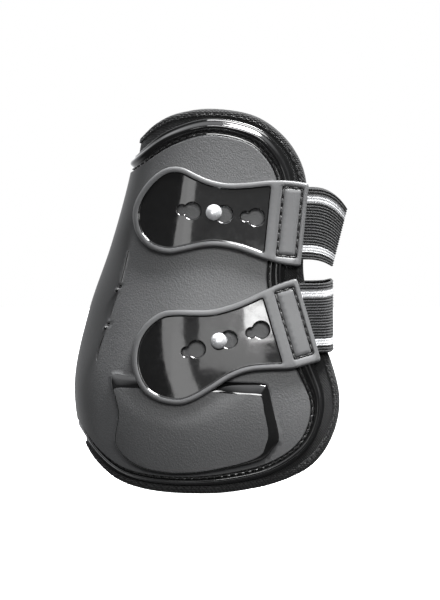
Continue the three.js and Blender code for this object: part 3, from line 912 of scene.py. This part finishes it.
# ---------------- tabs
# Sections go inwards from an outline as (distance, height).
TAB_SECTION = [(0.0, 4.7), (0.12, 5.25), (0.4, 5.65), (0.9, 5.92), (1.5, TAB_TOP)]
RECESS_SECTION = [(0.15, 5.9), (0.35, 5.6), (0.5, 5.1), (0.7, 4.86), (0.9, TAB_RECESS), (0.95, TAB_RECESS)]
PLATE_TOP = 5.85
PLATE_SECTION = [(0.1, 5.8), (0.25, 5.0), (1.35, 5.0), (1.5, 5.6), (1.8, PLATE_TOP)]
PLATE_GLOSS = 5.1  # the plate's groove is polished below this height
PLATE_RAMP = (18, 16.2)  # from the tab's end: where its underside rises over the elastic
TAB_STITCH_INSET = 0.8
TAB_STITCH_HEIGHT = 5.35
# A keyhole from its lip to the underside, as (margin round the hole, height).
KEYHOLE_SECTION = [
    (0.75, TAB_RECESS), (0.7, TAB_RECESS), (0.6, 4.76), (0.15, 4.35), (0.0, 4.0), (0.0, TAB_LOW + 0.2),
    (0.1, TAB_LOW),
]


def tab_loop(closure, border, end, count):
    """The tab's outline as a clockwise loop, drawn in by a border and ended early for the recess."""
    open_line = spaced(spline(closure["outline"]), 260)
    along = np.gradient(open_line, axis=0)
    along /= np.linalg.norm(along, axis=1)[:, None]
    drawn = open_line + border * np.stack([-along[:, 1], along[:, 0]], axis=1)
    kept = drawn[drawn[:, 0] < end - 0.3]
    loop = np.concatenate([[(end, kept[0, 1])], kept, [(end, kept[-1, 1])]])
    return clockwise(relaxed(spaced(loop, count, closed=True), 2))


def keyhole_loop(closure, place, grow, count=22):
    """Round a small hole and the big one beside it, both grown by a margin."""
    small, big = SMALL_HOLE_R + grow, BIG_HOLE_R + grow
    x = (HOLE_STEP**2 + small**2 - big**2) / (2 * HOLE_STEP)
    y = math.sqrt(small**2 - x**2)
    a, b = math.atan2(y, x), math.atan2(y, x - HOLE_STEP)
    first = np.linspace(a, 2 * math.pi - a, count)
    second = np.linspace(-b, b, count * 2)[1:-1]
    left = np.stack([small * np.cos(first), small * np.sin(first)], axis=1)
    right = np.stack([HOLE_STEP + big * np.cos(second), big * np.sin(second)], axis=1)
    return clockwise(np.concatenate([left, right]) + (place, closure["lift"]))


def rounded_box(p0, p1, half, radius=1.0, count=110):
    """A box from p0 to p1 along the tab and half its width to each side, with round corners."""
    corners = [(p0 + radius, half - radius, 90), (p1 - radius, half - radius, 0),
               (p1 - radius, radius - half, -90), (p0 + radius, radius - half, -180)]
    points = []
    for x, y, start in corners:
        for k in range(7):
            t = math.radians(start + 90 - 15 * k)
            points.append((x + radius * math.cos(t), y + radius * math.sin(t)))
    return clockwise(spaced(np.array(points), count, closed=True))


def tab_place(closure, side=-1):
    """What lays tab coordinates and heights on a side of the wall."""
    return lambda p, h: on_side(tab_to_side(closure, p), h, side)


def plate_loop(length, margin):
    """The outline of the groove round the sewn plate, drawn in by a margin."""
    front = length - TAB_BORDER + 0.4
    return rounded_box(length - TAB_PLATE + margin, front - margin, ELASTIC_HALF - 0.1 - margin)


def add_plate(relief, length):
    """The plate sewn to the elastic, in its groove. Returns the rings of the groove's brink and the plate."""
    brink = plate = relief.ring(plate_loop(length, 0), TAB_TOP)
    for margin, height in PLATE_SECTION:
        ring = relief.ring(plate_loop(length, margin), height)
        relief.strip(plate, ring, int(height < PLATE_GLOSS))
        plate = ring
    return brink, plate


def add_keyhole(relief, closure, place):
    """A keyhole through the tab. Returns its rings at the top and on the underside."""
    rings = [relief.ring(keyhole_loop(closure, place, grow), height) for grow, height in KEYHOLE_SECTION]
    for a, b in zip(rings, rings[1:]):
        relief.strip(a, b, 1)
    return rings[0], rings[-1]


def make_tab(name, closure):
    """A moulded tab with its polished recess, three keyholes and the stitches round its plate."""
    place, length = tab_place(closure), closure["length"]
    relief = Relief()
    outline = tab_loop(closure, border=0, end=length, count=230)
    foot = relief.ring(inset(outline, 0.5), underside(outline, length))
    side = relief.ring(inset(outline, 0.05), underside(outline, length) + 0.35)
    rim = relief.steps(outline, TAB_SECTION, 0, side)
    relief.strip(foot, side)
    recess = tab_loop(closure, TAB_BORDER, length - TAB_PLATE - TAB_BAR, count=200)
    lip = relief.ring(recess, TAB_TOP)
    floor = relief.steps(recess, RECESS_SECTION, 1, lip)
    brink, plate = add_plate(relief, length)
    spots = [closure["hole"] + k * closure["pitch"] for k in (-1, 0, 1)]
    holes, low_holes = zip(*[add_keyhole(relief, closure, spot) for spot in spots])
    relief.fill(rim, [lip, brink], spacing=2.2, height=TAB_TOP)
    relief.fill(floor, holes, spacing=2.2, height=TAB_RECESS, slot=1)
    relief.fill(plate, [], spacing=2.4, height=PLATE_TOP)
    relief.fill(foot, low_holes, spacing=3.0, height=lambda p: underside(p, length))
    tab = relief.laid(name + "_tab_moulding", place, [TAB_SATIN, GLOSS])
    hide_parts(name + "_tab")
    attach(tab, name + "_tab_body")
    body, path = name + "_tab_body", plate_loop(length, TAB_STITCH_INSET)
    stitch_row(name + "_tab", body, place, path, TAB_STITCH_HEIGHT, pitch=4.8, share=0.78, radius=0.6)


def underside(p, length):
    """The tab's underside, raised over the elastic at its sewn end."""
    first, last = PLATE_RAMP
    return TAB_LOW + (TAB_TOP - PLATE_SKIN - TAB_LOW) * smoothstep(length - first, length - last, p[:, 0])


# ---------------- elastics
ACROSS = np.linspace(-1, 1, 151)  # over the elastic's width
ALONG = 260  # points along it
WHITE = (np.abs(ACROSS) > 0.6) & (np.abs(ACROSS) < 0.8)
RIB_HEIGHT, WHITE_RIB_HEIGHT = 0.24, 0.08
SELVEDGE = 0.03  # the share of the half-width over which the elastic thins to its edge
STRETCH = 10  # the length under the tab from its sewn end to the seam that bend_elastic works out and doesn't use


def elastic_row(closure, w, count):
    """Points along the elastic at w across it, from under the tab round the front to the inner side."""

    def face(p, side):
        q = np.full(len(p), w * ELASTIC_HALF)
        return on_side(tab_to_side(closure, np.stack([p, q], axis=1)), ELASTIC_MID, side)

    leave = closure["length"] + 1
    (low_x, low_z), (high_x, high_z) = closure["apex"]
    apex_x = low_x + (w + 1) / 2 * (high_x - low_x)
    apex_z = low_z + (w + 1) / 2 * (high_z - low_z)
    turn = np.linspace(0, math.pi / 2, 90)
    power = 2 / closure["bow"]

    def bow(start):
        x = start[0] + (apex_x - start[0]) * np.sin(turn) ** power
        y = start[1] * np.clip(np.cos(turn), 0, 1) ** power
        return np.stack([x, y, start[2] + (apex_z - start[2]) * np.sin(turn) ** 2], axis=1)

    outer = face(np.linspace(closure["length"] - SEWN_LENGTH, leave, 20), -1)
    inner = face(np.linspace(leave, leave - ANCHOR_START - ANCHOR_LENGTH, 40), 1)
    whole = np.concatenate([outer[:-1], bow(outer[-1]), bow(inner[0])[::-1][1:], inner[1:]])
    return spaced(whole, count)


def elastic_sheet(closure):
    """The elastic's two faces, and how far along and across it each point lies, as grids across and along."""
    rows = np.array([elastic_row(closure, w, ALONG) for w in ACROSS])
    step = np.gradient(rows, axis=1)
    normal = np.cross(step, np.gradient(rows, axis=0))
    normal /= np.linalg.norm(normal, axis=2)[:, :, None]
    q = ACROSS * ELASTIC_HALF
    ribs = np.where(WHITE, WHITE_RIB_HEIGHT, RIB_HEIGHT) * np.cos(2 * math.pi * q / RIB_PITCH)
    selvedge = np.clip((1 - np.abs(ACROSS)) / SELVEDGE, 0, 1) ** 0.5
    half = (ELASTIC_WALL / 2 - 0.2) * (0.35 + 0.65 * selvedge) + ribs * selvedge
    lift = normal * half[:, None, None]
    travelled = np.cumsum(np.linalg.norm(step, axis=2), axis=1)
    place = np.stack([travelled, np.broadcast_to(q[:, None], travelled.shape)], axis=2)
    return rows + lift, rows - lift, place


def make_elastic(name, closure):
    """The elastic in two parts, which meet at its foremost point."""
    face, back, place = elastic_sheet(closure)
    ring_slots = np.concatenate([WHITE, WHITE[::-1]]).astype(int).tolist()
    middle = ALONG // 2
    for part, span in (("outer", slice(0, middle + 1)), ("inner", slice(middle, ALONG))):
        ring = np.concatenate([face[:, span], back[::-1, span]]).transpose(1, 0, 2)
        points, faces = sweep(ring)
        slots = ring_slots * (len(ring) - 1) + [0, 0]
        strap = solid_mesh(f"{name}_elastic_{part}", points, faces, slots, [WEB_BLACK, WEB_WHITE])
        spots = np.concatenate([place[:, span], place[::-1, span]]).transpose(1, 0, 2).reshape(-1, 2)
        weave = strap.data.attributes.new("weave", "FLOAT_VECTOR", "POINT")
        weave.data.foreach_set("vector", np.pad(spots, ((0, 0), (0, 1))).astype(np.float32).ravel())
        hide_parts(name + "_elastic")
        bend_elastic(strap, closure, part)


def sew_anchor(name, closure):
    """The box of stitches that holds the elastic's end to the inner side."""
    end = closure["length"] + 1 - ANCHOR_START
    box = rounded_box(end - ANCHOR_LENGTH + 3, end - 3, ELASTIC_HALF - 3)
    base = ELASTIC_MID + ELASTIC_WALL / 2 + 0.1
    stitch_row(name + "_anchor", PAD, tab_place(closure, 1), box, base, radius=0.38, sink=0.4)


def bend_elastic(strap, closure, part):
    """Bakes an elastic part's placement into its mesh. For the outer part it also works out a seam under the
    tab, which nothing uses.
    """
    if part == "inner":
        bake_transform(strap)
    else:
        length = closure["length"]
        ends = [(length + 1, 0), (length + 1 - STRETCH, 0)]
        seam = on_side(tab_to_side(closure, ends), ELASTIC_MID) * MM
        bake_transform(strap)


# ---------------- studs
# (radius, height above the shell's outer face)
STUD_OUTLINE = [
    (0, -5), (1.7, -5), (2, -4.8), (2, 0.3), (3.3, 0.3), (3.6, 0.5), (3.6, 1.0), (3.3, 1.2), (1.9, 1.35),
    (1.6, 1.7), (1.6, 5.6), (1.75, 6.0), (2.6, 6.3), (3.6, 6.9), (4.35, 7.8), (4.7, 8.8), (4.6, 9.7),
    (4.1, 10.6), (3.3, 11.3), (2.2, 11.75), (1.1, 12.0), (0, 12.05),
]
LEAST_RADIUS = 0.01


def make_stud(name, spot):
    """A ball stud, and the steel of the washer and the rivet cap that hold it."""
    base = unrolled([spot], [0.0])[0]
    ahead, above = unrolled([spot + (1, 0), spot + (0, 1)], [0.0, 0.0]) - base
    axis = np.cross(ahead, above)
    axis /= np.linalg.norm(axis)
    right = ahead / np.linalg.norm(ahead)
    up = np.cross(axis, right)
    turn = np.linspace(0, 2 * math.pi, 40, endpoint=False)
    rows = []
    for r, h in STUD_OUTLINE:
        out = max(r, LEAST_RADIUS) * (np.cos(turn)[:, None] * right + np.sin(turn)[:, None] * up)
        rows.append(base + h * axis + out)
    points, faces = sweep(rows)
    stud = solid_mesh(name + "_ball_stud", points, faces, None, [CHROME])
    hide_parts(name + "_stud")
    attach(stud, PAD)
    for inner in ("_stud_washer", "_stud_rivet"):
        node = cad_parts[name + inner]
        node.data.materials.clear()
        node.data.materials.append(STEEL)


# ---------------- room, light and camera
BOOT = (0, -0.04, 0.12)
# Name, place, aim, size, radiance and lean of each light, in metres and degrees.
LIGHTS = [
    ("key", (0.38, -0.22, 1.05), BOOT, (0.5, 0.35), 88, 0),
    ("brow", (0.3, -1.9, 0.82), BOOT, (1.0, 0.4), 15, 0),
    ("front", (0.0, -3.0, 0.3), (0, 0, 0.1), (1.6, 1.0), 0.3, 0),
    ("strip", (-0.145, -0.64, 0.17), (-0.05, -0.04, 0.13), (0.1, 0.24), 2.6, 28),
    ("glow", (0.05, -2.0, 0.5), (0, 0, 0.1), (0.45, 0.2), 2, 0),
    ("spark", (0.25, -2.0, 0.66), (0, 0, 0.1), (0.2, 0.2), 14, 0),
]
# Axis, where the room is dark and how light it is there, and the same where it is bright.
ROOM_TONES = [("Z", 0.5, 0.06, 0.78, 1.7), ("Y", 0.0, 0.03, 0.45, 0.8)]
FLOOR_R, FLOOR_Z, FLOOR_SIDES = 4000, -4, 96
VIEW_MIDDLE = (0.0086, -0.042, 0.111)
VIEW_HEIGHT = 0.3429  # metres from the bottom of the view to its top
VIEW_DISTANCE = 4.0
VIEW_RISE = math.radians(1.5)
SENSOR = 36


def white_room():
    """A white sweep behind and overhead, and a dark room in front, which the gloss reflects."""
    world = bpy.data.worlds.new("room")
    w = Nodes(world)
    w.tree.nodes.clear()
    place = w.add("ShaderNodeTexCoord").outputs["Generated"]
    split = w.add("ShaderNodeSeparateXYZ", {0: place}).outputs
    tones = [w.ramp(split[axis], grey(dark), grey(bright), dark_at, bright_at)
             for axis, dark_at, dark, bright_at, bright in ROOM_TONES]
    both = w.add("ShaderNodeVectorMath", dict(enumerate(tones))).outputs[0]
    room = w.add("ShaderNodeBackground", {"Color": both}).outputs[0]
    seen = w.add("ShaderNodeBackground", {"Color": (1, 1, 1, 1)}).outputs[0]
    rays = w.add("ShaderNodeLightPath").outputs["Is Camera Ray"]
    mix = w.add("ShaderNodeMixShader", {"Fac": rays, 1: room, 2: seen}).outputs[0]
    w.add("ShaderNodeOutputWorld", {"Surface": mix})
    scene = bpy.context.scene
    scene.world = world
    scene.view_settings.view_transform = "Standard"
    scene.view_settings.look = "None"


def soft_light(name, place, aim, size, radiance, lean):
    """An area light of a given radiance, turned by lean degrees about the line to its aim."""
    light = bpy.data.lights.new(name, "AREA")
    light.shape = "RECTANGLE"
    light.size, light.size_y = size
    light.energy = radiance * math.pi * size[0] * size[1]
    made = bpy.data.objects.new(name, light)
    made.location = place
    facing = (Vector(aim) - Vector(place)).to_track_quat("-Z", "Y")
    made.rotation_euler = (facing @ Quaternion((0, 0, 1), math.radians(lean))).to_euler()
    made.visible_camera = False
    bpy.context.scene.collection.objects.link(made)


def pale_floor():
    """A white floor that fades into the white room and doesn't light the boot from below."""
    m = material_nodes("floor_paint")
    m.set(Base_Color=m.ramp(m.noise(0.004, 2.0), (0.88,) * 3, (0.92,) * 3), Roughness=0.9)
    m.set(Emission_Color=(1, 1, 1, 1), Emission_Strength=0.85, Specular_IOR_Level=0.0)
    turn = np.linspace(0, 2 * math.pi, FLOOR_SIDES, endpoint=False)
    rim = np.stack([FLOOR_R * np.cos(turn), FLOOR_R * np.sin(turn), 0 * turn + FLOOR_Z], axis=1)
    floor = solid_mesh("floor", rim, [tuple(range(FLOOR_SIDES))], None, [m.owner], outwards=False)
    floor.visible_diffuse = False
    floor.visible_glossy = False


def set_camera():
    """Square on to the outer side from a little above, with a long lens."""
    camera = bpy.data.cameras.new("camera")
    camera.sensor_fit = "VERTICAL"
    camera.sensor_height = SENSOR
    camera.lens = SENSOR / VIEW_HEIGHT * VIEW_DISTANCE
    made = bpy.data.objects.new("camera", camera)
    back = Vector((0, -math.cos(VIEW_RISE), math.sin(VIEW_RISE)))
    made.location = Vector(VIEW_MIDDLE) + back * VIEW_DISTANCE
    made.rotation_euler = (-back).to_track_quat("-Z", "Y").to_euler()
    bpy.context.scene.collection.objects.link(made)
    bpy.context.scene.camera = made


set_camera()
white_room()
pale_floor()
for light_facts in LIGHTS:
    soft_light(*light_facts)

make_shell()
make_lining()
make_binding()
for closure_name, closure_facts in CLOSURES.items():
    make_tab(closure_name, closure_facts)
    make_elastic(closure_name, closure_facts)
    sew_anchor(closure_name, closure_facts)
for closure_name, stud_spot in zip(CLOSURES, stud_spots()):
    make_stud(closure_name, stud_spot)
